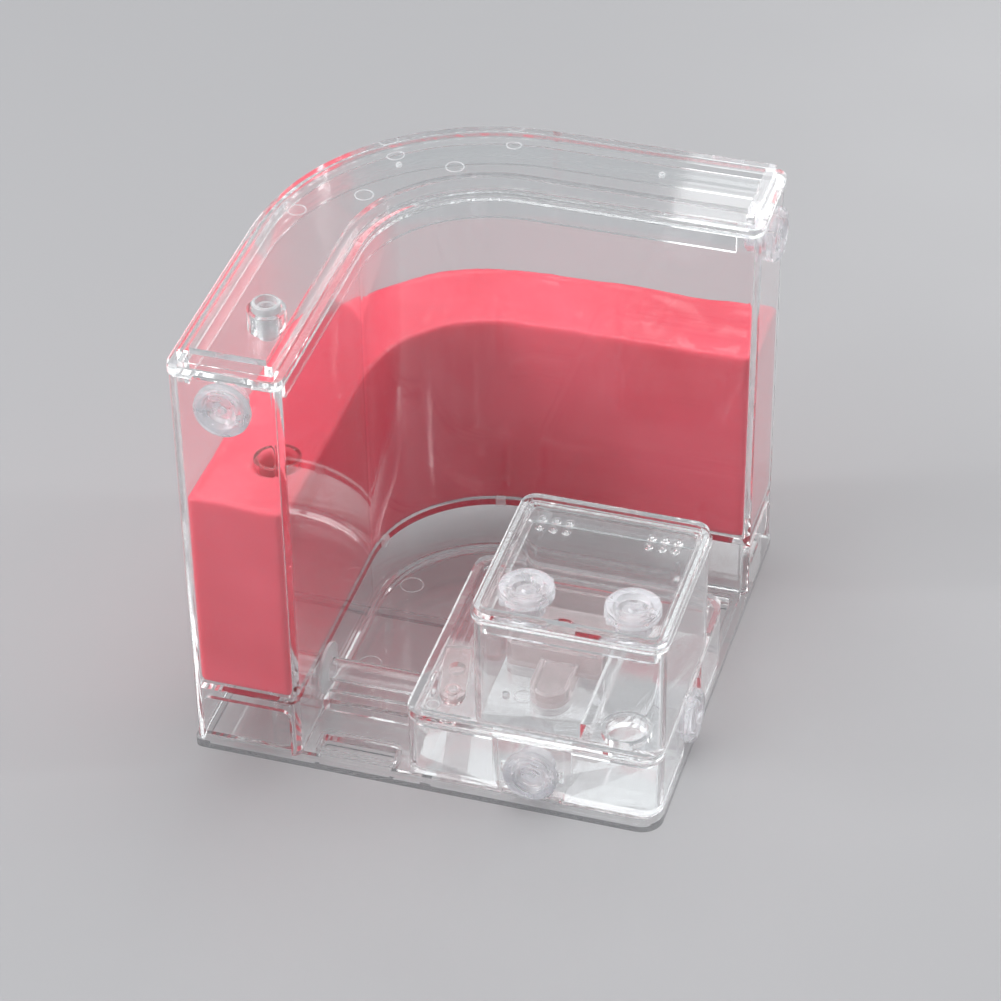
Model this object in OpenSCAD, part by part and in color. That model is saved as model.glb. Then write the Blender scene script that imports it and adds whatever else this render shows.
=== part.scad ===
// Ant habitat: a clear L-shaped gel nest on a base tray, joined by a tunnel to a low
// feeding tray that carries a lidded feeding box. Origin: centre of the base's underside.
// The two arms of the nest run along the left (-X) and the back (+Y) of the square base.

/* [Base] */
// Length of each side of the square base
base_side = 150; // [140:1:180]
// Height of the base's outer flange
flange_h = 3; // [2.4:0.1:5]
// Height of the plate that is raised inside the flange
plate_h = 1.3; // [1:0.1:3]
// How far the raised plate stays in from the base's edge
plate_inset = 2.4; // [2:0.1:3]
// Thickness of the base moulding
base_wall = 1.6; // [1.2:0.1:2]
// Radius of the base corner by the feeding box
front_r = 7; // [4:0.5:10]
// Radius of the base's two corners at the ends of the arms
end_r = 2.5; // [2:0.1:4]
// Length of a cleaning slot in the base
slot_l = 24; // [15:1:26]
// Width of a cleaning slot in the base
slot_w = 7; // [5:0.5:9]
// Height of the lip round a cleaning slot
slot_lip = 1; // [0.5:0.1:2]

/* [Nest] */
// Width of an arm of the nest
arm_w = 35; // [32:0.5:40]
// How far the nest's outer face stays in from the base's edge
nest_inset = 0.5; // [0.4:0.1:1]
// Wall thickness of the nest
nest_wall = 2.4; // [2:0.1:2.6]
// Height of the nest from the flange to its open top
nest_h = 140.2; // [120:1:170]
// Height of the skirt below the nest's floor
skirt_h = 20; // [18:0.5:26]
// Thickness of the nest's floor
floor_t = 2.4; // [2:0.1:4]
// Radius of the nest's upright corners
nest_r = 3; // [2.7:0.1:4]
// Height of the window in the skirt at each end of the nest
window_h = 17.5; // [10:0.5:17.5]
// Depth of the gel
gel_h = 71.6; // [40:0.1:90]
// Depth by which the gel creeps up the wall
gel_creep = 0.8; // [0.4:0.1:1.5]

/* [Nest lid] */
// Thickness of the lid's flange
lid_t = 3.2; // [2.6:0.1:4]
// Thickness of the lid's sunk panel
lid_panel_t = 2.2; // [1.6:0.1:2.4]
// Height of the rim on the lid
lid_rim_h = 3.6; // [2:0.1:5]
// Width of the rim on the lid
lid_rim_w = 2.8; // [2:0.1:4]
// How far the rim stays in from the lid's edge
lid_rim_inset = 2.6; // [1.5:0.1:4]
// Depth of the lid's skirt inside the nest
lid_skirt_h = 7.5; // [5:0.5:12]
// Thickness of a lid's skirt
lid_skirt_t = 1.5; // [1.2:0.1:2]

/* [Ports and plugs] */
// Diameter of a tube port
port_d = 12.7; // [10:0.1:13.5]
// Diameter of a plug's head
plug_head_d = 17.4; // [15.5:0.1:17.6]
// Thickness of a plug's head
plug_head_t = 3.6; // [3:0.1:4]
// Length of a plug's shank
plug_shank_l = 7.5; // [6:0.1:9]
// Diameter of the gripping hollow in a plug's head
plug_cup_d = 9.5; // [7:0.1:11]
// Gap between a plug's shank and its port
plug_gap = 0.3; // [0.2:0.05:0.4]
// Height of the nest's two ports above the base's underside
nest_port_z = 134.4; // [120:0.1:134.5]
// Height of the feeding tray's two ports above the base's underside
tray_port_z = 12.4; // [12.3:0.1:15]

/* [Well and tunnel] */
// Distance from the nest's inner face to the axis of the well
well_in = 13; // [12:0.5:18]
// Distance from the front of the base to the axis of the well and the tunnel
well_front = 28; // [24:0.5:34]
// Outer diameter of the well tube
well_d = 12.6; // [11.5:0.1:14]
// Bore of the well tube
well_bore = 10; // [8.5:0.1:10.5]
// Outer diameter of the tunnel tube
tunnel_d = 7.6; // [7:0.1:9]
// Bore of the tunnel tube
tunnel_bore = 6; // [5:0.1:6.2]
// Height of the tunnel's axis above the base's underside
tunnel_z = 17.2; // [15:0.1:17.6]
// Outer diameter of the collar where the tunnel meets the nest
collar_d = 16.8; // [14:0.1:18]
// Outer diameter of the filling port on the nest's lid
filler_d = 11.8; // [10.5:0.1:14]
// Height of the filling port above the lid's flange
filler_h = 5.6; // [4:0.1:8]
// Diameter of the head of the cap in the filling port
cap_head_d = 8.6; // [8:0.1:10]
// Diameter of the cap's shank
cap_shank_d = 6.4; // [5:0.1:7]

/* [Feeding tray] */
// Length of each side of the feeding tray
tray_side = 81; // [76:0.1:81.2]
// Height of the feeding tray without its deck
tray_h = 20.5; // [19:0.5:30]
// How far the feeding tray stays in from the base's right edge
tray_right_in = 0.5; // [0.3:0.1:2]
// How far the feeding tray stays in from the base's front edge
tray_front_in = 2.4; // [1:0.1:3.6]
// Wall thickness of the feeding tray
tray_wall = 2; // [1.6:0.1:2.4]
// Radius of the feeding tray's upright corners
tray_r = 6; // [4:0.5:8]
// Thickness of the deck that closes the feeding tray
deck_t = 2; // [1.6:0.1:2.4]
// Height of the border round the deck, from its underside
border_h = 3.5; // [3:0.1:5]
// Width of the border round the deck
border_w = 3.2; // [2.4:0.1:4]
// Width of the recess round a port of the feeding tray
recess_w = 21; // [20.5:0.5:26]
// Depth of the recess round a port of the feeding tray
recess_d = 1.2; // [0.6:0.1:3]
// Height of the court's floor above the base's plate
court_h = 4.2; // [3:0.1:6]
// Height of the kerb round the court, above the base's plate
kerb_h = 8; // [5:0.5:8]

/* [Gate] */
// Length of the gate lever from its pivot to its far end
gate_l = 21; // [16:0.5:24]
// Width of the gate lever
gate_w = 8; // [7.5:0.5:9]
// Thickness of the gate lever
gate_t = 2; // [1.5:0.1:3]
// Diameter of the gate's pin
pin_d = 3; // [2.5:0.1:3.4]
// Angle at which the gate stands from the tray's side
gate_angle = 12; // [6:1:14]

/* [Feeding box] */
// Length of each side of the feeding box
box_side = 59.6; // [56.5:0.1:60]
// Height of the feeding box without its lid
box_h = 40.7; // [30:0.1:60]
// Wall thickness of the feeding box
box_wall = 1.8; // [1.4:0.1:2.2]
// Radius of the feeding box's upright corners
box_r = 5; // [4:0.5:7]
// Height of the divider on the box's floor
divider_h = 6; // [4:0.5:12]
// Thickness of the divider on the box's floor
divider_t = 3.2; // [2:0.1:3.6]
// Width of the compartment beside the divider
side_room = 20.5; // [18:0.1:21.5]
// Height of the lip round the hole in the box's floor
lip_h = 1.8; // [1:0.1:4]
// Thickness of the lip round the hole in the box's floor
lip_t = 1.4; // [1:0.1:1.6]
// Length of the water dish without its spout
dish_l = 28.5; // [20:0.5:30]
// Height of the water dish
dish_h = 8.5; // [7:0.5:14]
// Wall thickness of the water dish
dish_wall = 1.4; // [1:0.1:2]
// Width of the drinking spout of the water dish
spout_w = 12.4; // [11:0.1:14]
// Length of the drinking spout of the water dish
spout_l = 17; // [13:0.5:18]
// Height of the drinking spout of the water dish
spout_h = 5; // [4:0.1:6.5]

/* [Box lid] */
// How far the box's lid stands out past the box
box_lid_over = 0.9; // [0.5:0.1:1.2]
// Thickness of the box's lid
box_lid_t = 1.8; // [1.4:0.1:2.4]
// Height of the rim on the box's lid
box_rim_h = 2.7; // [2:0.1:4]
// Width of the rim on the box's lid
box_rim_w = 2.2; // [1.6:0.1:2.6]
// Depth of the box lid's skirt inside the box
box_skirt_h = 5; // [3:0.5:8]
// Diameter of an air hole in the box's lid
vent_d = 1.3; // [1:0.1:1.8]
// Distance from one air hole to the next
vent_pitch = 4.2; // [3.4:0.1:4.4]

/* [Hidden] */
$fn = 64;
eps = 0.01;
// Gap left between pieces that are lifted or pulled past each other
gap = 0.3;
// Radial clearance of a hole over the tube or pin that stands in it
fit = 0.05;

half = base_side / 2;
nest_out = half - nest_inset;         // outer faces of the nest, and the radius of its outer corner
nest_in = half - arm_w;               // inner faces of the nest, and the radius of its inner corner
arm_mid = (nest_out + nest_in) / 2;
plate_z = flange_h + plate_h;         // top of the base's raised plate
nest_floor_z = flange_h + skirt_h;    // underside of the nest's floor
gel_z = nest_floor_z + floor_t;
gel_top_z = gel_z + gel_h;
lid_z = flange_h + nest_h;            // underside of the nest lid's flange
panel_top_z = lid_z + lid_panel_t;
lid_top_z = lid_z + lid_t;
filler_top_z = lid_top_z + filler_h;

well_x = -nest_in - well_in;
well_y = well_front - half;
well_rise = 1;                        // height of the well tube above the gel
elbow_floor_t = 1.5;
collar_t = 2;

tray_hi = half - tray_right_in;       // the tray's right face
tray_lo = tray_hi - tray_side;        // the tray's left face
tray_front = tray_front_in - half;
tray_back = tray_front + tray_side;
tray_mid = tray_side / 2;
tray_z = plate_z;
tray_floor_t = 1.6;
tray_top_z = tray_z + tray_h;         // underside of the deck
deck_z = tray_top_z + deck_t;         // top of the deck, where the box stands
border_z = tray_top_z + border_h;
deck_rim_t = 1.5;                     // rim under the deck, inside the tray's walls
deck_rim_h = 2;
clip_w = 1.4;                         // clip slots beside each port of the tray
clip_h = 4;

kerb_line = half - 22.5;              // outer faces of the kerb round the court
kerb_t = 1.6;
court_t = 1.6;
court_z = plate_z + court_h;          // top of the court's floor

box_hi = tray_hi - 0.2;               // the box's right face
box_lo = box_hi - box_side;           // the box's left face
box_front = tray_front + 2.2;
box_back = box_front + box_side;
box_x = (box_hi + box_lo) / 2;
box_y = (box_front + box_back) / 2;
box_z = deck_z;
box_floor_t = 1.5;
box_floor_z = box_z + box_floor_t;
box_top_z = box_z + box_h;
divider_x = box_hi - box_wall - side_room;
hole_x = divider_x + 1.7 + lip_t + port_d / 2;
hole_y = box_front + box_wall + 0.4 + port_d / 2;
dish_lo = box_lo + box_wall + gap;
dish_hi = divider_x - divider_t - gap;
dish_r = box_r - box_wall;
peg_d = 2.2;
peg_h = 1.5;

plug_spread = 16.5;                   // distance of each lid plug from the lid's middle, sideways
plug_row = 14.7;                      // distance of the lid plugs in front of the lid's middle
vent_spread = 17.2;                   // distance of the air holes from the lid's middle, sideways
vent_row = 18.7;                      // distance of the air holes behind the lid's middle
pip_d = 2.8;
pip_h = 0.7;
pull_r = 4.5;                         // half-round finger pull in the box's lid
pull_t = 0.9;

gate_rise = 0.2;                      // running gap under and over the gate lever
gate_z = border_z + gate_rise;
boss_d = 6.4;                         // boss on the deck that lifts the lever over the border
pivot_x = box_lo - 8.7;
pivot_y = tray_front + 11.6;
gate_port_d = 5.2;
gate_port_out = 14;                   // distance of the hole under the lever from the pivot
pin_head_d = 5;
pin_head_t = 1;

slot_x = (tray_lo - nest_in) / 2;
slot_y = 8 - half;
slot_edge = 1.2;

// The base is alike about its diagonal from the front right to the back left corner's arc.
module both_ways() {
    children();
    mirror([1, 1, 0]) children();
}

// A rectangle given by its edges
module block2(x0, x1, y0, y1) {
    translate([x0, y0]) square([x1 - x0, y1 - y0]);
}

// A rectangle given by its edges, with round corners
module round2(x0, x1, y0, y1, r) {
    block2(x0 + r, x1 - r, y0, y1);
    block2(x0, x1, y0 + r, y1 - r);
    for (x = [x0 + r, x1 - r], y = [y0 + r, y1 - r])
        translate([x, y]) circle(r);
}

module slab(z0, z1) {
    translate([0, 0, z0]) linear_extrude(z1 - z0) children();
}

// A quarter of the base's outline, in the +X +Y quadrant
module quarter2(out, r) {
    square([out - r, out]);
    square([out, out - r]);
    translate([out - r, out - r]) circle(r);
}

// The base's outline, moved in by inset: one whole corner is an arc about the origin
module base_plan(inset) {
    out = half - inset;
    quarter2(out, max(end_r - inset, 0.5));
    rotate(180) quarter2(out, max(end_r - inset, 0.5));
    rotate(-90) quarter2(out, max(front_r - inset, 0.5));
    intersection() {
        circle(out);
        block2(-out, 0, 0, out);
    }
}

// One arm of the nest, along the left of the base
module arm_plan(out, in, r) {
    block2(-out, -in, -out + r, 0);
    block2(-out + r, -in - r, -out, 0);
    for (x = [-out + r, -in - r])
        translate([x, -out + r]) circle(r);
}

// The nest's outline, moved in by inset
module nest_plan(inset) {
    out = nest_out - inset;
    in = nest_in + inset;
    both_ways() arm_plan(out, in, max(nest_r - inset, 0.4));
    difference() {
        intersection() {
            circle(out);
            block2(-out, 0, 0, out);
        }
        circle(in);
    }
}

module nest_ring(outer, inner) {
    difference() {
        nest_plan(outer);
        nest_plan(inner);
    }
}

module tray_plan(inset) {
    round2(tray_lo + inset, tray_hi - inset, tray_front + inset, tray_back - inset,
           max(tray_r - inset, 0.5));
}

module box_plan(inset) {
    round2(box_lo + inset, box_hi - inset, box_front + inset, box_back - inset,
           max(box_r - inset, 0.5));
}

// A cleaning slot, grown by the given edge
module slot_plan(edge) {
    round2(slot_x - slot_l / 2 - edge, slot_x + slot_l / 2 + edge,
           slot_y - slot_w / 2 - edge, slot_y + slot_w / 2 + edge, 1 + edge);
}

// Shallow tray with a raised plate, grooved where the nest's walls stand
module base_tray() {
    color([0.86, 0.9, 0.92])
    difference() {
        union() {
            slab(0, flange_h) base_plan(0);
            slab(flange_h - eps, plate_z) difference() {
                base_plan(plate_inset);
                nest_ring(-gap, nest_wall + gap);
            }
            both_ways() slab(plate_z - eps, plate_z + slot_lip) slot_plan(slot_edge);
        }
        slab(-eps, flange_h - base_wall) difference() {
            base_plan(plate_inset + base_wall);
            block2(-half, half, -base_wall, base_wall);
            block2(-base_wall, base_wall, -half, half);
            both_ways() slot_plan(slot_edge);
        }
        both_ways() slab(-1, plate_z + slot_lip + 1) slot_plan(0);
        // Relief under the heads of the tray's two plugs
        at_tray_ports() translate([-plug_head_d / 2 - 0.6, -4, flange_h])
            cube([plug_head_d + 1.2, 4 + recess_d, plate_h + 1]);
    }
}

module court_plan(inset) {
    near = nest_in - gap - inset;
    difference() {
        union() {
            intersection() {
                circle(near);
                block2(-near, 0, 0, near);
            }
            block2(-near, kerb_line - inset, -kerb_line + inset, 0);
            block2(0, kerb_line - inset, 0, near);
        }
        block2(tray_lo - gap - inset, half, -half, tray_back + gap + inset);
    }
}

// Floor of the open court between the nest and the feeding tray, with a kerb on its open sides
module court_floor() {
    color([0.8, 0.85, 0.88])
    difference() {
        union() {
            slab(plate_z, court_z) court_plan(0);
            slab(plate_z, plate_z + kerb_h) difference() {
                both_ways() block2(-nest_in + gap, 0, -kerb_line, -kerb_line + kerb_t);
                block2(tray_lo - gap, half, -half, tray_back + gap);
            }
        }
        slab(plate_z - eps, court_z - court_t) court_plan(kerb_t);
        translate([-nest_in, well_y - collar_d / 2 - gap, tunnel_z - collar_d / 2 - gap / 2])
            cube([collar_t + gap, collar_d + 2 * gap, collar_d]);
    }
}

// Window in the skirt at the front end of the nest
module end_window() {
    x0 = -nest_out + nest_wall + 0.4;
    x1 = -nest_in - nest_wall - 0.4;
    translate([0, -nest_out + nest_wall + 1, flange_h]) rotate([90, 0, 0])
        linear_extrude(nest_wall + 2) {
            block2(x0, x1, -1, window_h - 3);
            round2(x0, x1, 0, window_h, 3);
        }
}

// Clear vessel with two arms, open at the top, on a skirt that lifts its floor
module nest_tank() {
    color([0.88, 0.93, 0.95, 0.5])
    difference() {
        union() {
            slab(flange_h, lid_z) nest_ring(0, nest_wall);
            slab(nest_floor_z, gel_z) nest_plan(nest_wall / 2);
        }
        both_ways() end_window();
        both_ways() translate([-arm_mid, -nest_out - 1, nest_port_z]) rotate([-90, 0, 0])
            cylinder(d = port_d, h = nest_wall + 2);
        translate([-nest_in - nest_wall - 1, well_y, tunnel_z]) rotate([0, 90, 0])
            cylinder(d = tunnel_d + 2 * fit, h = nest_wall + 2);
        translate([well_x, well_y, nest_floor_z - 1]) cylinder(d = well_bore, h = floor_t + 2);
    }
}

// Gel that the ants tunnel in, with a hole for the well tube
module gel_block() {
    color([0.89, 0.42, 0.47])
    difference() {
        union() {
            slab(gel_z, gel_top_z) nest_plan(nest_wall + fit);
            slab(gel_top_z - eps, gel_top_z + gel_creep)
                nest_ring(nest_wall + fit, nest_wall + fit + 1.2);
        }
        translate([well_x, well_y, gel_z - 1]) cylinder(d = well_d + 2 * fit, h = gel_h + 4);
    }
}

module tube(d, bore, h) {
    difference() {
        cylinder(d = d, h = h);
        translate([0, 0, -1]) cylinder(d = bore, h = h + 2);
    }
}

// Tube down through the gel to the hole in the nest's floor
module well_tube() {
    color([0.85, 0.92, 0.95, 0.6])
    translate([well_x, well_y, gel_z]) tube(well_d, well_bore, gel_h + well_rise);
}

// Cup under the nest's floor that turns the well into the tunnel
module well_elbow() {
    cup_z = tunnel_z - tunnel_bore / 2;
    color([0.85, 0.92, 0.95, 0.6])
    translate([well_x, well_y, 0]) difference() {
        translate([0, 0, plate_z]) cylinder(d = well_d, h = nest_floor_z - plate_z);
        translate([0, 0, cup_z]) cylinder(d = well_bore, h = nest_floor_z - cup_z + 1);
        translate([0, 0, plate_z - 1]) cylinder(d = well_bore, h = cup_z - elbow_floor_t - plate_z + 1);
        translate([0, 0, tunnel_z]) rotate([0, 90, 0])
            cylinder(d = tunnel_d + 2 * fit, h = well_d);
    }
}

// Walkway from the elbow to the feeding tray
module tunnel_tube() {
    start_x = well_x + well_d / 2 - 0.8;
    color([0.85, 0.92, 0.95, 0.6])
    translate([start_x, well_y, tunnel_z]) rotate([0, 90, 0])
        tube(tunnel_d, tunnel_bore, tray_lo + tray_wall - start_x);
}

// Ring that closes the nest's wall round the tunnel
module tunnel_collar() {
    color([0.93, 0.94, 0.94])
    translate([-nest_in, well_y, tunnel_z]) rotate([0, 90, 0]) difference() {
        union() {
            cylinder(d = collar_d, h = collar_t / 2);
            translate([0, 0, collar_t / 2])
                cylinder(d1 = collar_d, d2 = tunnel_d + 3, h = collar_t / 2, $fn = 64);
        }
        translate([0, 0, -1]) cylinder(d = tunnel_d + 2 * fit, h = collar_t + 2);
    }
}

// Lid of the nest: flange, sunk panel, rim, skirt inside the walls and a filling port
module nest_lid() {
    over = nest_inset;
    skirt = nest_wall + gap;
    notch_w = plug_head_d + 1.2;
    color([0.9, 0.93, 0.94, 0.6])
    difference() {
        union() {
            slab(lid_z, panel_top_z) nest_plan(-over);
            slab(panel_top_z - eps, lid_top_z) nest_ring(-over, lid_rim_inset + lid_rim_w);
            slab(lid_top_z - eps, lid_top_z + lid_rim_h)
                nest_ring(lid_rim_inset, lid_rim_inset + lid_rim_w);
            slab(lid_z - lid_skirt_h, lid_z + eps) nest_ring(skirt, skirt + lid_skirt_t);
            translate([well_x, well_y, panel_top_z - eps])
                cylinder(d = filler_d, h = filler_top_z - panel_top_z + eps);
        }
        // The skirt stops short of the plugs
        both_ways() translate([-half, -half - 1, lid_z - lid_skirt_h - 1])
            cube([arm_w, half - nest_out + plug_shank_l + 1.5, lid_skirt_h + 1]);
        both_ways() translate([-arm_mid - notch_w / 2, -half - 1, lid_z - eps])
            cube([notch_w, half - nest_out + nest_wall / 2 + 1, 1]);
        translate([well_x, well_y, lid_z - 1])
            cylinder(d = cap_shank_d + 2 * gap, h = filler_top_z - lid_z + 2);
        translate([well_x, well_y, filler_top_z - 1])
            cylinder(d = filler_d - 2.4, h = 2);
    }
}

// Stepped cap in the filling port, bored so that water can be dripped through it
module filler_cap() {
    head_h = 2.4;
    reach = 10;
    color([0.95, 0.95, 0.95])
    translate([well_x, well_y, filler_top_z - 1]) rotate_extrude() polygon([
        [cap_shank_d / 2 - 1.2, -reach], [cap_shank_d / 2 - 0.3, -reach],
        [cap_shank_d / 2, 0.6 - reach], [cap_shank_d / 2, 0], [cap_head_d / 2, 0],
        [cap_head_d / 2, 1 + head_h - 0.4], [cap_head_d / 2 - 0.4, 1 + head_h],
        [cap_head_d / 2 - 1, 1 + head_h], [cap_head_d / 2 - 1.2, 1.4],
        [cap_shank_d / 2 - 1.2, 1.4]
    ]);
}

// Places its children at the middle of the tray's front, and once more at its right side.
module at_tray_ports() {
    translate([tray_lo + tray_mid, tray_front, 0]) children();
    translate([tray_hi, tray_front + tray_mid, 0]) rotate(90) children();
}

// Thicker wall behind the recess of a tray port
module port_block() {
    w = recess_w + 2 * tray_wall;
    translate([-w / 2, 0, tray_z]) cube([w, recess_d + tray_wall, tray_h]);
}

// The recess, its port and the two clip slots beside it
module port_cuts() {
    deep = recess_d + tray_wall + 2;
    translate([-recess_w / 2, -1, tray_z - 1]) cube([recess_w, recess_d + 1, tray_h + 2]);
    translate([0, -1, tray_port_z]) rotate([-90, 0, 0]) cylinder(d = port_d, h = deep);
    for (side = [-1, 1])
        translate([side * (recess_w / 2 - clip_w / 2 - 0.6) - clip_w / 2, -1,
                   tray_port_z - clip_h / 2])
            cube([clip_w, deep, clip_h]);
}

// Low tray under the feeding box, with a port in its front and in its right side
module feeding_tray() {
    color([0.86, 0.9, 0.92, 0.6])
    difference() {
        union() {
            slab(tray_z, tray_top_z) difference() {
                tray_plan(0);
                tray_plan(tray_wall);
            }
            slab(tray_z, tray_z + tray_floor_t) tray_plan(tray_wall / 2);
            at_tray_ports() port_block();
        }
        at_tray_ports() port_cuts();
        translate([tray_lo - 1, well_y, tunnel_z]) rotate([0, 90, 0])
            cylinder(d = tunnel_d + 2 * fit, h = tray_wall + 2);
    }
}

// Deck on the feeding tray, with a border round it and a rim inside the tray's walls
module tray_deck() {
    rim = tray_wall + gap / 2;
    block_w = recess_w + 2 * tray_wall + gap;
    color([0.84, 0.88, 0.9, 0.6])
    difference() {
        union() {
            slab(tray_top_z, deck_z) tray_plan(0);
            slab(deck_z - eps, border_z) difference() {
                tray_plan(0);
                tray_plan(border_w);
                block2(box_lo - gap, half, box_front - gap, box_back + gap);
            }
            slab(tray_top_z - deck_rim_h, tray_top_z + eps) difference() {
                tray_plan(rim);
                tray_plan(rim + deck_rim_t);
            }
            translate([pivot_x, pivot_y, deck_z - eps]) cylinder(d = boss_d, h = border_z - deck_z + eps);
        }
        at_tray_ports() translate([-block_w / 2, -1, tray_top_z - deck_rim_h - 1])
            cube([block_w, recess_d + tray_wall + 2, deck_rim_h + 1]);
        translate([hole_x, hole_y, 0]) cylinder(d = port_d, h = border_z);
        translate([pivot_x, pivot_y, 0]) cylinder(d = pin_d + 2 * fit, h = border_z + 1);
        translate([pivot_x, pivot_y, 0]) rotate(gate_angle) translate([0, gate_port_out, 0])
            cylinder(d = gate_port_d, h = border_z);
    }
}

// Lever that swings off the small hole in the deck
module gate_lever() {
    color([0.9, 0.78, 0.78])
    translate([pivot_x, pivot_y, gate_z]) rotate(gate_angle) difference() {
        union() {
            cylinder(d = gate_w, h = gate_t);
            linear_extrude(gate_t) {
                block2(-gate_w / 2, gate_w / 2, 0, gate_l - 1);
                block2(-gate_w / 2 + 1, gate_w / 2 - 1, 0, gate_l);
                for (x = [1 - gate_w / 2, gate_w / 2 - 1])
                    translate([x, gate_l - 1]) circle(1);
            }
        }
        translate([0, 0, -1]) cylinder(d = pin_d + 2 * fit, h = gate_t + 2);
    }
}

// Headed pin that holds the gate lever to the deck
module gate_pin() {
    shank = border_h + gate_t + 2 * gate_rise;
    color([0.95, 0.95, 0.95])
    translate([pivot_x, pivot_y, tray_top_z]) {
        cylinder(d = pin_d, h = shank + eps);
        translate([0, 0, shank]) intersection() {
            cylinder(d = pin_head_d, h = pin_head_t);
            translate([0, 0, pin_head_t - pin_head_d]) sphere(pin_head_d);
        }
    }
}

// Feeding box: two compartments, with a lipped hole down to the tray in the narrow one
module feeding_box() {
    color([0.86, 0.9, 0.92, 0.6])
    difference() {
        union() {
            slab(box_z, box_top_z) difference() {
                box_plan(0);
                box_plan(box_wall);
            }
            slab(box_z, box_floor_z) box_plan(box_wall / 2);
            slab(box_floor_z - eps, box_floor_z + divider_h)
                block2(divider_x - divider_t, divider_x, box_front + box_wall / 2,
                       box_back - box_wall / 2);
            translate([hole_x, hole_y, box_floor_z - eps])
                cylinder(d = port_d + 2 * lip_t, h = lip_h);
            translate([dish_lo + 5, box_front + 14, box_floor_z - eps])
                cylinder(d = peg_d, h = peg_h);
        }
        translate([hole_x, hole_y, box_z - 1]) cylinder(d = port_d, h = box_floor_t + lip_h + 2);
    }
}

// Open water dish with a round-ended drinking spout
module water_dish() {
    back = box_back - box_wall - gap;
    front = back - dish_l;
    mid = (dish_lo + dish_hi) / 2 + 2;
    tip = front - spout_l + spout_w / 2;
    inner_w = spout_w - 2 * dish_wall;
    color([0.88, 0.82, 0.8, 0.8])
    difference() {
        union() {
            slab(box_floor_z, box_floor_z + dish_h) round2(dish_lo, dish_hi, front, back, dish_r);
            slab(box_floor_z, box_floor_z + spout_h) {
                block2(mid - spout_w / 2, mid + spout_w / 2, tip, front + 2);
                translate([mid, tip]) circle(d = spout_w);
            }
        }
        slab(box_floor_z + dish_wall, box_floor_z + dish_h + 1)
            round2(dish_lo + dish_wall, dish_hi - dish_wall, front + dish_wall,
                   back - dish_wall, max(dish_r - dish_wall, 0.6));
        slab(box_floor_z + dish_wall, box_floor_z + dish_h + 1) {
            block2(mid - inner_w / 2, mid + inner_w / 2, tip, front);
            translate([mid, tip]) circle(d = inner_w);
        }
        slab(box_floor_z + dish_wall, box_floor_z + spout_h - 1)
            block2(mid - inner_w / 2, mid + inner_w / 2, front - 1, front + 3);
    }
}

module vent_places() {
    for (side = [-1, 1], i = [-1, 0, 1], j = [0, 1])
        translate([box_x + side * vent_spread + i * vent_pitch,
                   box_y + vent_row + (j - 0.5) * vent_pitch, 0])
            children();
}

// Lid of the feeding box: rim, two plug ports, air holes, finger pull and a skirt
module box_lid() {
    skirt = box_wall + gap;
    plate_top = box_top_z + box_lid_t;
    pull_y = box_front + box_rim_w;
    color([0.88, 0.91, 0.92, 0.6])
    difference() {
        union() {
            slab(box_top_z, plate_top) box_plan(-box_lid_over);
            slab(plate_top - eps, plate_top + box_rim_h) difference() {
                box_plan(0);
                box_plan(box_rim_w);
            }
            slab(plate_top - eps, plate_top + 0.9) difference() {
                box_plan(box_rim_w / 2);
                box_plan(box_rim_w + 1.4);
            }
            slab(box_top_z - box_skirt_h, box_top_z + eps) difference() {
                box_plan(skirt);
                box_plan(skirt + lid_skirt_t);
            }
            vent_places() translate([0, 0, plate_top - eps]) cylinder(d = pip_d, h = pip_h);
        }
        for (side = [-1, 1])
            translate([box_x + side * plug_spread, box_y - plug_row, box_top_z - 1])
                cylinder(d = port_d, h = box_lid_t + 2);
        vent_places() translate([0, 0, box_top_z - 1]) cylinder(d = vent_d, h = box_lid_t + 3);
        slab(plate_top - pull_t, plate_top + 1) intersection() {
            translate([box_x - 2, pull_y]) circle(pull_r);
            block2(box_lo, box_hi, pull_y, 0);
        }
    }
}

// Soft plug along +Z, seated at the origin, with a cupped head and a hollow shank
module plug(tabs = false) {
    r = plug_head_d / 2;
    cup = plug_cup_d / 2;
    shank = port_d / 2 - plug_gap;
    color([0.93, 0.93, 0.94, 0.85]) {
        rotate_extrude() polygon([
            [0, -1.2], [shank - 1.8, -1.2], [shank - 1.5, -plug_shank_l],
            [shank - 0.7, -plug_shank_l], [shank, 0.9 - plug_shank_l], [shank, 0], [r, 0],
            [r, plug_head_t - 1.6], [r - 0.5, plug_head_t - 0.6], [r - 1.5, plug_head_t],
            [cup + 0.5, plug_head_t], [cup, plug_head_t - 0.5], [cup - 1.6, 1.2],
            [1.4, 0.9], [1, 1.8], [0, 2.1]
        ]);
        if (tabs)
            for (a = [50, 230])
                rotate(a) translate([r - 0.3, 0, 0]) cylinder(d = 2.4, h = 1.4);
    }
}

module nest_plug_front() {
    translate([-arm_mid, -nest_out, nest_port_z]) rotate([90, 0, 0]) plug();
}

module nest_plug_right() {
    translate([nest_out, arm_mid, nest_port_z]) rotate([0, 90, 0]) plug();
}

module tray_plug_front() {
    translate([tray_lo + tray_mid, tray_front + recess_d, tray_port_z]) rotate([90, 0, 0]) plug();
}

module tray_plug_right() {
    translate([tray_hi - recess_d, tray_front + tray_mid, tray_port_z]) rotate([0, 90, 0]) plug();
}

module lid_plug(side) {
    translate([box_x + side * plug_spread, box_y - plug_row, box_top_z + box_lid_t])
        plug(tabs = true);
}

module lid_plug_left() {
    lid_plug(-1);
}

module lid_plug_right() {
    lid_plug(1);
}

base_tray();
court_floor();
nest_tank();
gel_block();
well_tube();
well_elbow();
tunnel_tube();
tunnel_collar();
nest_lid();
filler_cap();
feeding_tray();
tray_deck();
gate_lever();
gate_pin();
feeding_box();
water_dish();
box_lid();
nest_plug_front();
nest_plug_right();
tray_plug_front();
tray_plug_right();
lid_plug_left();
lid_plug_right();
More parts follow.
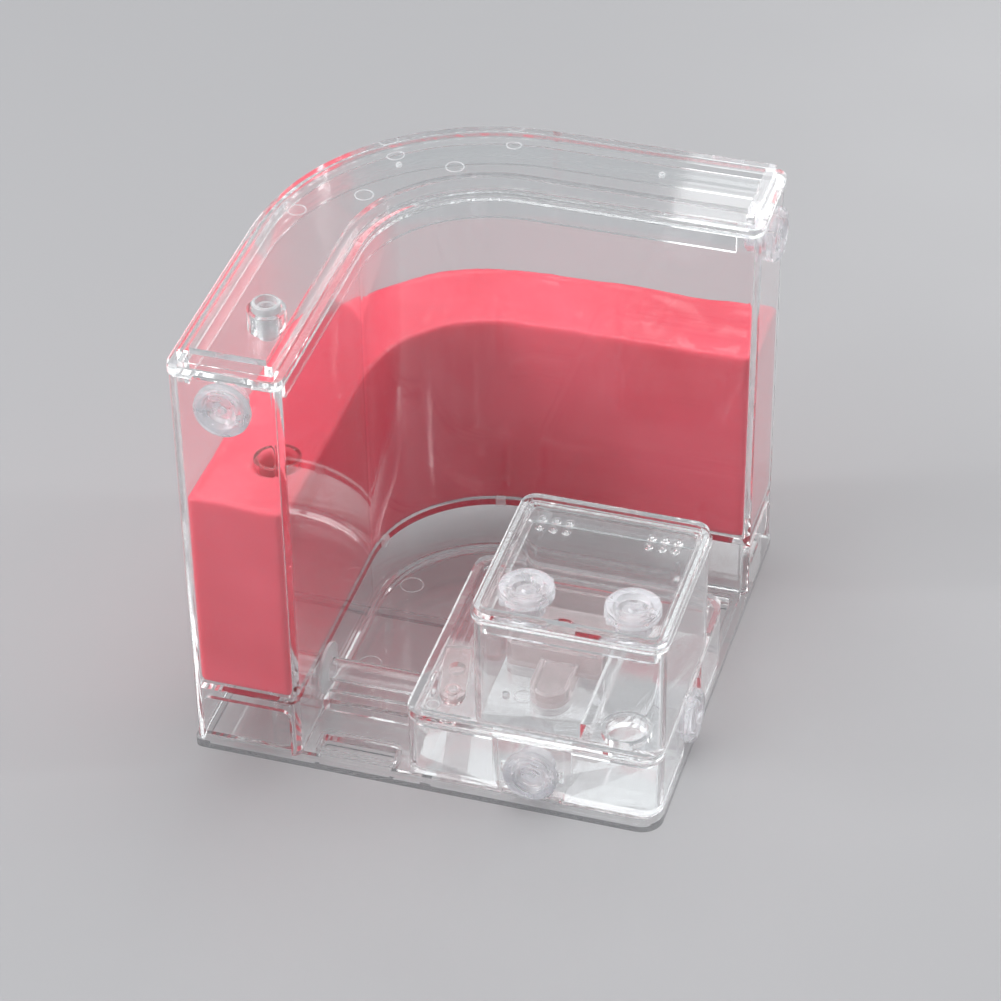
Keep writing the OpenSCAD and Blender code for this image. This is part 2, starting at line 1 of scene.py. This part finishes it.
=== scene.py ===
"""Looks of a clear ant habitat with a pink gel nest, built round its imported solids."""
import math

import bpy
from bpy.props import FloatProperty, FloatVectorProperty, PointerProperty
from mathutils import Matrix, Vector


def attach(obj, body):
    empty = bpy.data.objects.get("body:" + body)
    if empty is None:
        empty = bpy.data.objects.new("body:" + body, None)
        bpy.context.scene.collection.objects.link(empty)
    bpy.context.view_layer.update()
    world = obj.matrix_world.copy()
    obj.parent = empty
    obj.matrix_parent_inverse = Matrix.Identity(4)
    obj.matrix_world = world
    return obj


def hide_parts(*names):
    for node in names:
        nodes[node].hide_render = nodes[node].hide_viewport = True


bl_info = {
    "name": "Ant Habitat Looks",
    "version": (1, 0, 0),
    "blender": (4, 5, 0),
    "location": "View3D > Sidebar > Habitat",
    "description": "Gives the habitat its clear mouldings, gel, soft plugs and small "
                   "moulding marks",
    "category": "Object",
}

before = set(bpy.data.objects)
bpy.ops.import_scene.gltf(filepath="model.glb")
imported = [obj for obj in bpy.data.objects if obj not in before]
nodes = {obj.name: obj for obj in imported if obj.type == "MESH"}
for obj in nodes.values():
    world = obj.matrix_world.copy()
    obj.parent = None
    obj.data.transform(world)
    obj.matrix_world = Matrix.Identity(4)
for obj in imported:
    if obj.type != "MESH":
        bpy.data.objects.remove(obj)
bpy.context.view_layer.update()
MM = 0.001

CLEAR_NODES = (
    "base_tray", "court_floor", "nest_tank", "well_tube", "well_elbow", "tunnel_tube",
    "nest_lid", "feeding_tray", "tray_deck", "feeding_box", "box_lid",
)
WHITE_NODES = ("tunnel_collar", "filler_cap")
MILKY_NODES = ("gate_lever", "gate_pin", "water_dish")
PLUG_NODES = (
    "nest_plug_front", "nest_plug_right", "tray_plug_front", "tray_plug_right",
    "lid_plug_left", "lid_plug_right",
)

# Flow marks and scuffs that the finishes share: height in metres, mask limits and direction
FLOW_DETAIL = 2.0
FLOW_HEIGHT = 0.0005
HAZE_LIMITS = (0.38, 0.68)
HAZE_SHADE = 0.985
SCUFF_DETAIL = 1.0
SCUFF_LIMITS = (0.66, 0.71)
SCUFF_TURN = (0.2, 0.4, 0.7)
SCUFF_STRETCH = (1, 24, 5)

# Clear plastic: flow marks, roughness from bare to scuffed, and a coat that rounds the edges
CLEAR_FLOW = (26, 0.09)
CLEAR_ROUGHNESS = (0.0, 0.06)
CLEAR_SCUFF_SCALE = 45
CLEAR_IOR = 1.46
CLEAR_COAT = 0.4
CLEAR_COAT_ROUGHNESS = 0.06
EDGE_SAMPLES = 3
# Share of soft light that one clear face lets by, and the ray depth that ends a long path
CLEAR_PASS = (0.985, 8.5)

# Pale finishes: light and dark colour, transmission, roughness and weight of scattering
WHITE_FINISH = ((0.86, 0.87, 0.88), (0.78, 0.79, 0.8), 0.7, (0.1, 0.25), 0.15)
MILKY_FINISH = ((0.9, 0.84, 0.84), (0.82, 0.76, 0.76), 0.85, (0.06, 0.2), 0.08)
SILICONE_FINISH = ((0.92, 0.92, 0.94), (0.85, 0.85, 0.88), 0.8, (0.14, 0.3), 0.15)
PALE_FLOW = (140, 0.12)
PALE_SCUFF_SCALE = 70
PALE_IOR = 1.42
PALE_SCATTER = (1.0, 0.95, 0.95)
PALE_SCATTER_REACH = 0.003
PALE_PASS = (0.5, 10.5)

# Gel: flow marks, wetness, scattering, and the air specks trapped in it
GEL_FLOW = (18, 0.3)
GEL_ROUGHNESS = (0.12, 0.26)
GEL_IOR = 1.34
GEL_COAT = 0.3
GEL_COAT_ROUGHNESS = 0.08
GEL_SCATTER_WEIGHT = 0.3
GEL_SCATTER = (1.0, 0.25, 0.25)
GEL_SCATTER_REACH = 0.006
SPECK_SCALE = 330.0
SPECK_LIMITS = (0.05, 0.12)
SPECK_SHARE = 0.35
SPECK_COLOUR = (0.85, 0.25, 0.32)
# Gel's mesh: weld distance, smoothing, and the skin below its top that carries the waves
GEL_WELD = 1e-5
GEL_SMOOTHING = (0.5, 6)
GEL_SKIN = 4 * MM
SKIN_GAIN = 1.5
WAVE_SPACING = 0.022
WAVE_LEVEL = 0.75

# Rings that ejector pins left on the mouldings: node, x, y and diameter in millimetres
EJECTOR_MARKS = (
    ("nest_lid", -45.9, 52.0, 6.0),
    ("nest_lid", -48.0, 27.6, 6.0),
    ("nest_lid", -65.2, 14.0, 6.0),
    ("nest_lid", -25.8, 50.5, 6.0),
    ("nest_lid", -11.7, 67.7, 5.0),
    ("court_floor", -30.3, 9.3, 7.7),
    ("court_floor", -31.0, -32.0, 7.7),
    ("feeding_box", 26.5, -53.5, 6.0),
    ("tray_deck", 0.8, -65.2, 4.5),
)
RING_WIDTH = 0.3
RING_BEVEL = 0.08
# Pips where the lid's moulding was fed: node, x, y and diameter in millimetres
GATE_MARKS = (
    ("nest_lid", 37.6, 63.0, 2.2),
    ("nest_lid", -42.8, 46.3, 2.0),
)
# Pip's stem, its middle above the lid, its step and dimple in millimetres
PIP_LENGTH = 1.2
PIP_RISE = 0.3
PIP_STEP = 0.5
PIP_DIMPLE = 0.2
PIP_BEVEL = 0.12
# Insets of the step and of the dimple, as shares of the pip's diameter
STEP_INSET = 0.22
DIMPLE_INSET = 0.08
# Height in millimetres of the surface that carries the marks, and the body it belongs to
MARKED = {
    "nest_lid": (145.4, "nest_lid"),
    "court_floor": (8.5, "habitat"),
    "feeding_box": (28.3, "feeding_box"),
    "tray_deck": (26.8, "habitat"),
}

# Lugs low on the round inner wall of the nest: angle from +X, and height in millimetres
LUGS = ((167.9, 26.0), (102.6, 26.0))
# Wall's radius, a lug's middle inside it, its sides, and the inset and depth of its nose
LUG_RADIUS = 40.0
LUG_MIDDLE = 0.3
LUG_SIDES = (1.8, 3.4, 3.6)
NOSE_INSET = 0.5
NOSE_DEPTH = 0.4
LUG_BEVEL = 0.35

# Modelling: edges sharper than this many degrees are bevelled, and the least share of a
# face's normal that makes it face one way
SHARP_EDGE = 40
FACING = 0.9
SMOOTH_BELOW = 35
GEL_SMOOTH_BELOW = 60

# The photograph's camera, in metres and radians
CAMERA_PLACE = (0.26527, -0.84709, 0.74850)
CAMERA_TURN = (0.908873, 0.010702, 0.291696)
CAMERA_LENS = 128.663
SENSOR = 36.0
CAMERA_RANGE = (0.05, 20)

# Lamps: name, place, width, height and share of the main lamp's power
LAMPS = (
    ("softbox_top", (-0.15, 0.25, 1.5), 1.6, 1.5, 1.0),
    ("softbox_left", (-1.2, -0.95, 0.8), 1.3, 1.2, 0.9),
    ("softbox_back", (0.5, 1.35, 0.8), 1.6, 0.8, 0.5),
    ("strip_left", (-1.05, -0.35, 0.55), 0.07, 1.0, 0.3),
    ("strip_right", (1.1, 0.35, 0.6), 0.07, 1.0, 0.25),
)
LAMP_AIM = Vector((0, 0, 0.07))
ROOM_COLOUR = (0.95, 0.97, 1.0, 1)

# Floor: side in metres, cuts of its mesh, flow marks and roughness
FLOOR_SIDE = 8.0
FLOOR_CUTS = 3
FLOOR_FLOW = (6, 0.02)
FLOOR_ROUGHNESS = (0.4, 0.5)

# Bounces of a light path, and clear faces that it may pass
PATH_BOUNCES = 16
CLEAR_FACES = 32


# ---------------------------------------------------------------- settings

class GelSettings(bpy.types.PropertyGroup):
    """Colour and surface of the gel"""
    colour: FloatVectorProperty(
        name="Gel Colour", description="Colour of the gel where light falls on it",
        default=(0.86, 0.10, 0.15), size=3, min=0, max=1, subtype="COLOR")
    deep_colour: FloatVectorProperty(
        name="Deep Colour", description="Colour of the gel's darker clouds",
        default=(0.72, 0.06, 0.095), size=3, min=0, max=1, subtype="COLOR")
    ripple: FloatProperty(
        name="Ripple", description="Height of the waves that the gel sets with on its top",
        default=0.0010, min=0, max=0.003, unit="LENGTH")
    mesh_step: FloatProperty(
        name="Mesh Step", description="Size of the gel's mesh cells",
        default=0.0012, min=0.0008, max=0.003, unit="LENGTH")


class MouldingSettings(bpy.types.PropertyGroup):
    """Finish of the clear, white and milky mouldings"""
    tint: FloatVectorProperty(
        name="Clear Tint", description="Tint of the clear plastic",
        default=(0.98, 0.99, 0.992), size=3, min=0, max=1, subtype="COLOR")
    edge: FloatProperty(
        name="Edge Radius", description="Radius of the rounding on the edges of the mouldings",
        default=0.0006, min=0, max=0.001, unit="LENGTH")
    mark_height: FloatProperty(
        name="Mark Height", description="Height of the rings that ejector pins leave",
        default=0.0002, min=0, max=0.001, unit="LENGTH")


class StageSettings(bpy.types.PropertyGroup):
    """Floor and lights"""
    floor_colour: FloatVectorProperty(
        name="Floor Colour", description="Colour of the plain floor",
        default=(0.36, 0.36, 0.37), size=3, min=0, max=1, subtype="COLOR")
    light: FloatProperty(
        name="Light", description="Power of the main softbox",
        default=15.0, min=0, max=100, unit="POWER")
    surroundings: FloatProperty(
        name="Surroundings", description="Brightness of the pale room round the object",
        default=0.45, min=0, max=3)


# ---------------------------------------------------------------- helpers

def deselect_all():
    if bpy.context.object and bpy.context.object.mode != "OBJECT":
        bpy.ops.object.mode_set(mode="OBJECT")
    bpy.ops.object.select_all(action="DESELECT")


def make_active(obj):
    deselect_all()
    obj.select_set(True)
    bpy.context.view_layer.objects.active = obj


def edit_select(obj, wanted):
    """Opens obj in edit mode with only the faces selected that wanted(polygon) picks."""
    make_active(obj)
    mesh = obj.data
    for v in mesh.vertices:
        v.select = False
    for e in mesh.edges:
        e.select = False
    for p in mesh.polygons:
        p.select = bool(wanted(p))
    bpy.ops.object.mode_set(mode="EDIT")
    bpy.ops.mesh.select_mode(type="FACE")


def apply_modifier(obj, kind, **values):
    make_active(obj)
    m = obj.modifiers.new(kind.lower(), kind)
    for key, value in values.items():
        setattr(m, key, value)
    bpy.ops.object.modifier_apply(modifier=m.name)


def bevel(obj, width, segments=2):
    apply_modifier(obj, "BEVEL", width=width, segments=segments, limit_method="ANGLE",
                   angle_limit=math.radians(SHARP_EDGE))


def copy_of(pattern, place, turn=0.0):
    """A copy of a modelled pattern, with its own mesh, set at its place."""
    twin = pattern.copy()
    twin.data = pattern.data.copy()
    bpy.context.scene.collection.objects.link(twin)
    twin.location = place
    twin.rotation_euler = (0, 0, turn)
    return twin


def discard(pattern):
    """Removes a pattern and its mesh when all its copies are made."""
    mesh = pattern.data
    bpy.data.objects.remove(pattern)
    bpy.data.meshes.remove(mesh)


def settle(obj, name, material, body, angle=SMOOTH_BELOW):
    """Puts a finished piece's place into its mesh, names it and gives it its finish and body."""
    make_active(obj)
    bpy.ops.object.transform_apply(location=True, rotation=True, scale=True)
    bpy.ops.object.shade_smooth_by_angle(angle=math.radians(angle))
    obj.name = name
    obj.data.name = name
    obj.data.materials.clear()
    obj.data.materials.append(material)
    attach(obj, body)
    deselect_all()


# ---------------------------------------------------------------- node groups

def new_group(name, inputs, outputs):
    g = bpy.data.node_groups.new(name, "ShaderNodeTree")
    for label, kind in inputs:
        g.interface.new_socket(name=label, in_out="INPUT", socket_type=kind)
    for label, kind in outputs:
        g.interface.new_socket(name=label, in_out="OUTPUT", socket_type=kind)
    return g, g.nodes.new("NodeGroupInput"), g.nodes.new("NodeGroupOutput")


def noise(tree, vector, detail):
    n = tree.nodes.new("ShaderNodeTexNoise")
    n.inputs["Detail"].default_value = detail
    tree.links.new(vector, n.inputs["Vector"])
    return n


def stretch(tree, value, low, high, to_low=0.0, to_high=1.0):
    """Maps value from low..high to to_low..to_high, clamped."""
    n = tree.nodes.new("ShaderNodeMapRange")
    n.inputs["From Min"].default_value = low
    n.inputs["From Max"].default_value = high
    n.inputs["To Min"].default_value = to_low
    n.inputs["To Max"].default_value = to_high
    tree.links.new(value, n.inputs["Value"])
    return n.outputs["Result"]


def moulding_flow_group():
    """Slow waves that a moulded surface sets with, and the haze that goes with them."""
    g, gin, gout = new_group(
        "moulding_flow",
        [("Vector", "NodeSocketVector"), ("Scale", "NodeSocketFloat")],
        [("Height", "NodeSocketFloat"), ("Haze", "NodeSocketFloat")])
    wave = noise(g, gin.outputs["Vector"], FLOW_DETAIL)
    g.links.new(gin.outputs["Scale"], wave.inputs["Scale"])
    g.links.new(wave.outputs["Fac"], gout.inputs["Height"])
    g.links.new(stretch(g, wave.outputs["Fac"], *HAZE_LIMITS), gout.inputs["Haze"])
    return g


def scuff_group():
    """Fine hair scuffs along one slanted direction."""
    g, gin, gout = new_group(
        "scuffs",
        [("Vector", "NodeSocketVector"), ("Scale", "NodeSocketFloat")],
        [("Mask", "NodeSocketFloat")])
    place = g.nodes.new("ShaderNodeMapping")
    place.inputs["Rotation"].default_value = SCUFF_TURN
    place.inputs["Scale"].default_value = SCUFF_STRETCH
    g.links.new(gin.outputs["Vector"], place.inputs["Vector"])
    hairs = noise(g, place.outputs["Vector"], SCUFF_DETAIL)
    g.links.new(gin.outputs["Scale"], hairs.inputs["Scale"])
    g.links.new(stretch(g, hairs.outputs["Fac"], *SCUFF_LIMITS), gout.inputs["Mask"])
    return g


def add_group(tree, name, build, vector, scale):
    n = tree.nodes.new("ShaderNodeGroup")
    n.node_tree = bpy.data.node_groups.get(name) or build()
    n.inputs["Scale"].default_value = scale
    tree.links.new(vector, n.inputs["Vector"])
    return n


def maths(tree, operation, first, second):
    """A maths node whose inputs are sockets or plain numbers."""
    n = tree.nodes.new("ShaderNodeMath")
    n.operation = operation
    for socket, value in zip(n.inputs, (first, second)):
        if isinstance(value, (int, float)):
            socket.default_value = value
        else:
            tree.links.new(value, socket)
    return n.outputs[0]


def start_material(name):
    """A node material with its Principled shader and the object's own coordinates."""
    m = bpy.data.materials.new(name)
    m.use_nodes = True
    tree = m.node_tree
    coord = tree.nodes.new("ShaderNodeTexCoord")
    return m, tree, tree.nodes["Principled BSDF"], coord.outputs["Object"]


def surface(tree, shader, coord, flow_marks, rough, scuff_scale=0):
    """Wires flow marks, haze and scuffs to the shader's Roughness and Normal."""
    scale, strength = flow_marks
    flow = add_group(tree, "moulding_flow", moulding_flow_group, coord, scale)
    haze = flow.outputs["Haze"]
    if scuff_scale:
        hairs = add_group(tree, "scuffs", scuff_group, coord, scuff_scale)
        haze = maths(tree, "MAXIMUM", haze, hairs.outputs["Mask"])
    tree.links.new(stretch(tree, haze, 0, 1, *rough), shader.inputs["Roughness"])
    bump = tree.nodes.new("ShaderNodeBump")
    bump.inputs["Strength"].default_value = strength
    bump.inputs["Distance"].default_value = FLOW_HEIGHT
    tree.links.new(flow.outputs["Height"], bump.inputs["Height"])
    tree.links.new(bump.outputs["Normal"], shader.inputs["Normal"])
    return flow.outputs["Haze"]


def light_through(tree, shader, share, depth):
    """Lets light and soft bounces pass a clear wall, and ends the long paths inside it."""
    path = tree.nodes.new("ShaderNodeLightPath")
    soft = maths(tree, "MAXIMUM", path.outputs["Is Shadow Ray"], path.outputs["Is Diffuse Ray"])
    long_path = maths(tree, "GREATER_THAN", path.outputs["Ray Depth"], depth)
    open_share = maths(tree, "MAXIMUM", maths(tree, "MULTIPLY", soft, share), long_path)
    tree.links.new(maths(tree, "SUBTRACT", 1.0, open_share), shader.inputs["Alpha"])


def blend_colours(tree, fac, first, second):
    """A colour between first and second, each of them a socket or a plain colour."""
    mix = tree.nodes.new("ShaderNodeMix")
    mix.data_type = "RGBA"
    tree.links.new(fac, mix.inputs[0])
    for socket, value in ((mix.inputs[6], first), (mix.inputs[7], second)):
        if isinstance(value, tuple):
            socket.default_value = (*value, 1)
        else:
            tree.links.new(value, socket)
    return mix.outputs[2]


def hazed(colour):
    return tuple(HAZE_SHADE * c for c in colour)


# ---------------------------------------------------------------- materials

def clear_plastic(settings):
    """Polished clear plastic: a faint cool tint, flow marks, hair scuffs and rounded edges."""
    m, tree, shader, coord = start_material("clear_plastic")
    haze = surface(tree, shader, coord, CLEAR_FLOW, CLEAR_ROUGHNESS, CLEAR_SCUFF_SCALE)
    tint = tuple(settings.tint)
    tree.links.new(blend_colours(tree, haze, tint, hazed(tint)), shader.inputs["Base Color"])
    shader.inputs["Transmission Weight"].default_value = 1.0
    shader.inputs["IOR"].default_value = CLEAR_IOR
    rounding = tree.nodes.new("ShaderNodeBevel")
    rounding.samples = EDGE_SAMPLES
    rounding.inputs["Radius"].default_value = settings.edge
    tree.links.new(rounding.outputs["Normal"], shader.inputs["Coat Normal"])
    shader.inputs["Coat Weight"].default_value = CLEAR_COAT
    shader.inputs["Coat Roughness"].default_value = CLEAR_COAT_ROUGHNESS
    light_through(tree, shader, *CLEAR_PASS)
    return m


def milky(name, light, dark, transmission, rough, scatter):
    """A translucent pale finish, used for soft and hard pieces with their own values."""
    m, tree, shader, coord = start_material(name)
    haze = surface(tree, shader, coord, PALE_FLOW, rough, PALE_SCUFF_SCALE)
    tree.links.new(blend_colours(tree, haze, light, dark), shader.inputs["Base Color"])
    shader.inputs["Transmission Weight"].default_value = transmission
    shader.inputs["IOR"].default_value = PALE_IOR
    shader.inputs["Subsurface Weight"].default_value = scatter
    shader.inputs["Subsurface Radius"].default_value = PALE_SCATTER
    shader.inputs["Subsurface Scale"].default_value = PALE_SCATTER_REACH
    light_through(tree, shader, *PALE_PASS)
    return m


def pink_gel(settings):
    """Wet gel: soft clouds of a deeper pink, small specks of trapped air and a wet skin."""
    m, tree, shader, coord = start_material("pink_gel")
    haze = surface(tree, shader, coord, GEL_FLOW, GEL_ROUGHNESS)
    clouds = blend_colours(tree, haze, tuple(settings.colour), tuple(settings.deep_colour))
    specks = tree.nodes.new("ShaderNodeTexVoronoi")
    specks.inputs["Scale"].default_value = SPECK_SCALE
    tree.links.new(coord, specks.inputs["Vector"])
    speck_mask = stretch(tree, specks.outputs["Distance"], *SPECK_LIMITS, SPECK_SHARE, 0.0)
    tree.links.new(blend_colours(tree, speck_mask, clouds, SPECK_COLOUR),
                   shader.inputs["Base Color"])
    shader.inputs["Subsurface Weight"].default_value = GEL_SCATTER_WEIGHT
    shader.inputs["Subsurface Radius"].default_value = GEL_SCATTER
    shader.inputs["Subsurface Scale"].default_value = GEL_SCATTER_REACH
    shader.inputs["IOR"].default_value = GEL_IOR
    shader.inputs["Coat Weight"].default_value = GEL_COAT
    shader.inputs["Coat Roughness"].default_value = GEL_COAT_ROUGHNESS
    return m


def floor_paint(settings):
    """Plain matt floor with barely seen clouds."""
    m, tree, shader, coord = start_material("floor_paint")
    haze = surface(tree, shader, coord, FLOOR_FLOW, FLOOR_ROUGHNESS)
    base = tuple(settings.floor_colour)
    tree.links.new(blend_colours(tree, haze, base, hazed(base)), shader.inputs["Base Color"])
    return m


def finish_of(name):
    """A finish made earlier; the pieces that share it can't be finished without it."""
    found = bpy.data.materials.get(name)
    if found is None:
        raise RuntimeError(f"the finish {name} is not made yet: run Finish Mouldings first")
    return found


def paint(names, material):
    for n in names:
        obj = nodes[n]
        obj.data.materials.clear()
        obj.data.materials.append(material)


# ---------------------------------------------------------------- operators

class HABITAT_OT_mouldings(bpy.types.Operator):
    """Give the clear, white and milky mouldings their finish"""
    bl_idname = "habitat.mouldings"
    bl_label = "Finish Mouldings"

    def execute(self, context):
        paint(CLEAR_NODES, clear_plastic(context.scene.habitat_mouldings))
        paint(WHITE_NODES, milky("white_plastic", *WHITE_FINISH))
        paint(MILKY_NODES, milky("milky_plastic", *MILKY_FINISH))
        return {"FINISHED"}


class HABITAT_OT_plugs(bpy.types.Operator):
    """Give the six soft plugs their milky silicone"""
    bl_idname = "habitat.plugs"
    bl_label = "Finish Plugs"

    def execute(self, context):
        paint(PLUG_NODES, milky("silicone", *SILICONE_FINISH))
        return {"FINISHED"}


class HABITAT_OT_gel(bpy.types.Operator):
    """Cast the gel with a rippled top and a crept edge"""
    bl_idname = "habitat.gel"
    bl_label = "Cast Gel"

    def execute(self, context):
        s = context.scene.habitat_gel
        gel = bpy.data.objects.new("gel", nodes["gel_block"].data.copy())
        context.scene.collection.objects.link(gel)
        make_active(gel)
        bpy.ops.object.mode_set(mode="EDIT")
        bpy.ops.mesh.select_all(action="SELECT")
        bpy.ops.mesh.remove_doubles(threshold=GEL_WELD)
        bpy.ops.mesh.normals_make_consistent(inside=False)
        bpy.ops.object.mode_set(mode="OBJECT")
        apply_modifier(gel, "REMESH", mode="VOXEL", voxel_size=s.mesh_step)
        factor, rounds = GEL_SMOOTHING
        apply_modifier(gel, "SMOOTH", factor=factor, iterations=rounds)
        top = max(v.co.z for v in gel.data.vertices)
        group = gel.vertex_groups.new(name="top")
        for v in gel.data.vertices:
            near = 1 - (top - v.co.z) / GEL_SKIN
            if near > 0:
                group.add([v.index], min(1.0, SKIN_GAIN * near), "REPLACE")
        waves = bpy.data.textures.new("gel_waves", "CLOUDS")
        waves.noise_scale = WAVE_SPACING
        apply_modifier(gel, "DISPLACE", texture=waves, texture_coords="LOCAL", direction="Z",
                       mid_level=WAVE_LEVEL, strength=2 * s.ripple, vertex_group="top")
        gel.vertex_groups.clear()
        settle(gel, "gel", pink_gel(s), "habitat", GEL_SMOOTH_BELOW)
        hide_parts("gel_block")
        return {"FINISHED"}


class HABITAT_OT_ejector_marks(bpy.types.Operator):
    """Leave the fine rings of ejector pins on the mouldings"""
    bl_idname = "habitat.ejector_marks"
    bl_label = "Ejector Marks"

    def execute(self, context):
        height = context.scene.habitat_mouldings.mark_height
        finish = finish_of("clear_plastic")
        rings = {}
        for i, (node, x, y, size) in enumerate(EJECTOR_MARKS, 1):
            z, body = MARKED[node]
            if size not in rings:
                rings[size] = self.model_ring(size, height)
            ring = copy_of(rings[size], (x * MM, y * MM, z * MM))
            settle(ring, f"ejector_mark_{i}", finish, body)
        for ring in rings.values():
            discard(ring)
        return {"FINISHED"}

    @staticmethod
    def model_ring(size, height):
        deselect_all()
        bpy.ops.mesh.primitive_cylinder_add(
            vertices=48, radius=size / 2 * MM, depth=2 * height, end_fill_type="NOTHING",
            location=(0, 0, 0))
        ring = bpy.context.object
        apply_modifier(ring, "SOLIDIFY", thickness=RING_WIDTH * MM, offset=-1)
        bevel(ring, RING_BEVEL * MM)
        return ring


class HABITAT_OT_gate_marks(bpy.types.Operator):
    """Leave the small raised pips where the lid's moulding was fed"""
    bl_idname = "habitat.gate_marks"
    bl_label = "Gate Marks"

    def execute(self, context):
        finish = finish_of("clear_plastic")
        for i, (node, x, y, size) in enumerate(GATE_MARKS, 1):
            z, body = MARKED[node]
            deselect_all()
            bpy.ops.mesh.primitive_cylinder_add(
                vertices=32, radius=size / 2 * MM, depth=PIP_LENGTH * MM,
                location=(x * MM, y * MM, (z + PIP_RISE) * MM))
            pip = context.object
            edit_select(pip, lambda p: p.normal.z > FACING)
            bpy.ops.mesh.inset(thickness=size * STEP_INSET * MM)
            bpy.ops.mesh.extrude_region_move(
                TRANSFORM_OT_translate={"value": (0, 0, PIP_STEP * MM)})
            bpy.ops.mesh.inset(thickness=size * DIMPLE_INSET * MM)
            bpy.ops.transform.translate(value=(0, 0, -PIP_DIMPLE * MM))
            bpy.ops.object.mode_set(mode="OBJECT")
            bevel(pip, PIP_BEVEL * MM, 3)
            settle(pip, f"gate_mark_{i}", finish, body)
        return {"FINISHED"}


class HABITAT_OT_lugs(bpy.types.Operator):
    """Add the two small lugs low on the nest's round inner wall"""
    bl_idname = "habitat.lugs"
    bl_label = "Wall Lugs"

    def execute(self, context):
        finish = finish_of("clear_plastic")
        pattern = self.model_lug()
        for i, (angle, height) in enumerate(LUGS, 1):
            turn = math.radians(angle)
            place = Vector((math.cos(turn), math.sin(turn), 0)) * (LUG_RADIUS - LUG_MIDDLE) * MM
            place.z = height * MM
            lug = copy_of(pattern, place, turn)
            settle(lug, f"wall_lug_{i}", finish, "habitat")
        discard(pattern)
        return {"FINISHED"}

    @staticmethod
    def model_lug():
        """The lug as it stands on a wall to its +X side, its nose towards -X."""
        deselect_all()
        bpy.ops.mesh.primitive_cube_add(size=1, location=(0, 0, 0))
        lug = bpy.context.object
        lug.scale = [side * MM for side in LUG_SIDES]
        bpy.ops.object.transform_apply(location=False, rotation=False, scale=True)
        edit_select(lug, lambda p: p.normal.x < -FACING)
        bpy.ops.mesh.inset(thickness=NOSE_INSET * MM)
        bpy.ops.transform.translate(value=(-NOSE_DEPTH * MM, 0, 0))
        bpy.ops.object.mode_set(mode="OBJECT")
        bevel(lug, LUG_BEVEL * MM, 3)
        return lug


class HABITAT_OT_stage(bpy.types.Operator):
    """Set up the plain floor, the soft lights and the photograph's camera"""
    bl_idname = "habitat.stage"
    bl_label = "Stage"

    def execute(self, context):
        s = context.scene.habitat_stage
        scene = context.scene
        deselect_all()
        bpy.ops.mesh.primitive_plane_add(size=FLOOR_SIDE, location=(0, 0, 0))
        floor = context.object
        bpy.ops.object.mode_set(mode="EDIT")
        bpy.ops.mesh.subdivide(number_cuts=FLOOR_CUTS)
        bpy.ops.object.mode_set(mode="OBJECT")
        floor.name = "floor"
        floor.data.materials.append(floor_paint(s))
        for name, place, width, height, share in LAMPS:
            data = bpy.data.lights.new(name, "AREA")
            data.shape = "RECTANGLE"
            data.size = width
            data.size_y = height
            data.energy = share * s.light
            lamp = bpy.data.objects.new(name, data)
            scene.collection.objects.link(lamp)
            lamp.location = place
            lamp.rotation_euler = (LAMP_AIM - Vector(place)).to_track_quat("-Z", "Y").to_euler()
        world = bpy.data.worlds.new("studio")
        scene.world = world
        world.use_nodes = True
        room = world.node_tree.nodes["Background"]
        room.inputs["Color"].default_value = ROOM_COLOUR
        room.inputs["Strength"].default_value = s.surroundings
        view = bpy.data.cameras.new("camera")
        view.sensor_width = SENSOR
        view.lens = CAMERA_LENS
        view.clip_start, view.clip_end = CAMERA_RANGE
        camera = bpy.data.objects.new("camera", view)
        scene.collection.objects.link(camera)
        camera.location = CAMERA_PLACE
        camera.rotation_euler = CAMERA_TURN
        scene.camera = camera
        scene.view_settings.view_transform = "Standard"
        scene.cycles.max_bounces = PATH_BOUNCES
        scene.cycles.glossy_bounces = PATH_BOUNCES
        scene.cycles.transmission_bounces = PATH_BOUNCES
        scene.cycles.transparent_max_bounces = CLEAR_FACES
        return {"FINISHED"}


class HABITAT_PT_looks(bpy.types.Panel):
    """Shows the habitat's settings and a button for each of its steps"""
    bl_label = "Habitat Looks"
    bl_idname = "HABITAT_PT_looks"
    bl_space_type = "VIEW_3D"
    bl_region_type = "UI"
    bl_category = "Habitat"

    def draw(self, context):
        for name in SETTINGS:
            group = getattr(context.scene, name)
            box = self.layout.box()
            for key in group.__annotations__:
                box.prop(group, key)
        for step in STEPS:
            self.layout.operator(f"habitat.{step}")


STEPS = ("mouldings", "plugs", "gel", "ejector_marks", "gate_marks", "lugs", "stage")
SETTINGS = {
    "habitat_mouldings": MouldingSettings,
    "habitat_gel": GelSettings,
    "habitat_stage": StageSettings,
}
CLASSES = (
    MouldingSettings, GelSettings, StageSettings, HABITAT_OT_mouldings, HABITAT_OT_plugs,
    HABITAT_OT_gel, HABITAT_OT_ejector_marks, HABITAT_OT_gate_marks, HABITAT_OT_lugs,
    HABITAT_OT_stage, HABITAT_PT_looks,
)


def register():
    for c in CLASSES:
        bpy.utils.register_class(c)
    for name, group in SETTINGS.items():
        setattr(bpy.types.Scene, name, PointerProperty(type=group))


def unregister():
    for name in SETTINGS:
        delattr(bpy.types.Scene, name)
    for c in reversed(CLASSES):
        bpy.utils.unregister_class(c)


def main():
    register()
    for step in STEPS:
        getattr(bpy.ops.habitat, step)()
    deselect_all()


if __name__ == "__main__":
    main()
